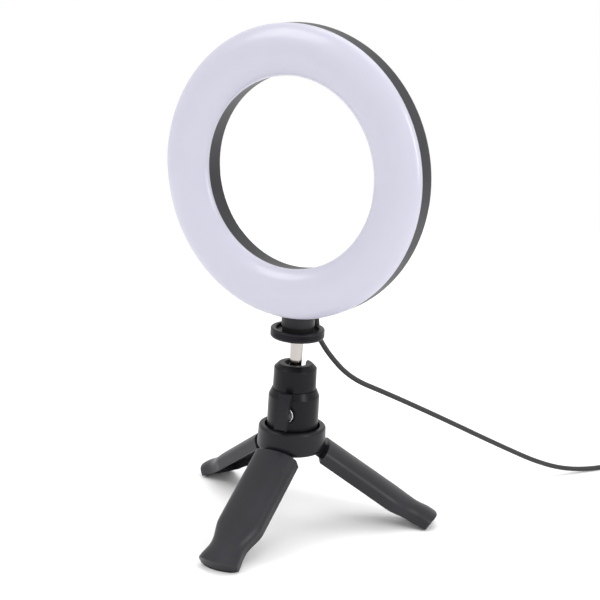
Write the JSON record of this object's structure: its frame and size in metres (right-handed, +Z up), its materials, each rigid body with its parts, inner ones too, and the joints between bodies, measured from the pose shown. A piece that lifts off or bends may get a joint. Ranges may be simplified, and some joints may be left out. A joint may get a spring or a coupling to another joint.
{
  "type": "ring light",
  "caption": "Small ring light on a ball head with a lock wheel and lever, over a folding table tripod, with its USB lead and in-line control.",
  "frame": {"origin": "centre of the object's footprint box on the ground, the lead left out", "axes": "+Z up, the lit face looks along -Y, +X to the object's left as it faces the viewer's right"},
  "size_m": [0.2652, 0.3253, 0.2864],
  "materials": {
    "diffuser": "milky moulded diffuser",
    "housing": "satin black moulded housing",
    "head_plastic": "satin black moulded plastic",
    "leg_plastic": "satin black moulded plastic",
    "soft_black": "matt rubber",
    "steel": "bright zinc-plated steel",
    "nickel": "nickel-plated, polished",
    "insert_brass": "knurled brass insert",
    "board": "white solder mask",
    "control_green": "green solder mask",
    "chip_warm": "phosphor-filled lens",
    "chip_cool": "phosphor-filled lens",
    "cord_jacket": "soft black cord jacket",
    "white_plastic": "white moulded tongue",
    "button_grey": "grey moulded keys"
  },
  "bodies": {
    "head_base": {"head_housing": "head_plastic", "ball_cup": "head_plastic", "ball_seat": "white_plastic", "clamp_wedge": "steel", "lever_washer": "steel", "pan_bolt": "steel", "pan_washer": "steel", "cord_tube": "cord_jacket", "cord_coil": "cord_jacket", "coil_tie": "soft_black", "cord_end": "cord_jacket", "cord_boot": "soft_black", "control_lower": "head_plastic", "control_upper": "head_plastic", "control_board": "control_green", "usb_shell": "steel", "usb_tongue": "white_plastic"},
    "light_head": {"diffuser": "diffuser", "rear_housing": "housing", "led_board": "board", "leds_warm": "chip_warm", "leds_cool": "chip_cool", "housing_screws": "steel", "board_standoffs": "white_plastic", "threaded_insert": "insert_brass", "cord_gland": "soft_black", "ball_stud": "nickel"},
    "lock_wheel": {"lock_wheel": "head_plastic", "wheel_pad": "soft_black"},
    "lock_lever": {"lock_lever": "head_plastic", "clamp_screw": "steel"},
    "tripod_hub": {"tripod_hub": "leg_plastic", "hinge_pin_front": "steel", "hinge_pin_right": "steel", "hinge_pin_left": "steel"},
    "leg_front": {"leg_front": "leg_plastic", "foot_pad_front": "soft_black"},
    "leg_right": {"leg_right": "leg_plastic", "foot_pad_right": "soft_black"},
    "leg_left": {"leg_left": "leg_plastic", "foot_pad_left": "soft_black"},
    "button_power_body": {"button_power": "button_grey"},
    "button_brighter_body": {"button_brighter": "button_grey"},
    "button_dimmer_body": {"button_dimmer": "button_grey"}
  },
  "joints": [
    {"name": "pan", "type": "hinge", "parent": "head_base", "child": "tripod_hub", "pos_m": [0.0003, 0.0146, 0.055], "axis": [0, 0, 1], "continuous": true},
    {"name": "tilt", "type": "hinge", "parent": "head_base", "child": "light_head", "pos_m": [0.0003, 0.0146, 0.0875], "axis": [0.9659, 0.2588, 0], "range_deg": [-90, 16], "deforming": ["cord_tube"]},
    {"name": "wheel_turn", "type": "hinge", "parent": "light_head", "child": "lock_wheel", "pos_m": [0.0003, 0.0146, 0.1135], "axis": [0, 0, 1], "range_deg": [-360, 0]},
    {"name": "lever_turn", "type": "hinge", "parent": "head_base", "child": "lock_lever", "pos_m": [0.0003, 0.0146, 0.0691], "axis": [0.2588, -0.9659, 0], "range_deg": [0, 90]},
    {"name": "leg_front_fold", "type": "hinge", "parent": "tripod_hub", "child": "leg_front", "pos_m": [0.00124, 0.00264, 0.048], "axis": [0.9969, 0.0785, 0], "range_deg": [0, 56]},
    {"name": "leg_right_fold", "type": "hinge", "parent": "tripod_hub", "child": "leg_right", "pos_m": [0.01019, 0.0214, 0.048], "axis": [-0.5664, 0.8241, 0], "range_deg": [0, 56]},
    {"name": "leg_left_fold", "type": "hinge", "parent": "tripod_hub", "child": "leg_left", "pos_m": [-0.01053, 0.01977, 0.048], "axis": [-0.4305, -0.9026, 0], "range_deg": [0, 56]},
    {"name": "button_power_press", "type": "slide", "parent": "head_base", "child": "button_power_body", "axis": [0, 0, -1], "range_m": [0, 0.0008], "stiffness_N_per_m": 300, "springref_m": -0.0004},
    {"name": "button_brighter_press", "type": "slide", "parent": "head_base", "child": "button_brighter_body", "axis": [0, 0, -1], "range_m": [0, 0.0008], "stiffness_N_per_m": 300, "springref_m": -0.0004},
    {"name": "button_dimmer_press", "type": "slide", "parent": "head_base", "child": "button_dimmer_body", "axis": [0, 0, -1], "range_m": [0, 0.0008], "stiffness_N_per_m": 300, "springref_m": -0.0004}
  ]
}
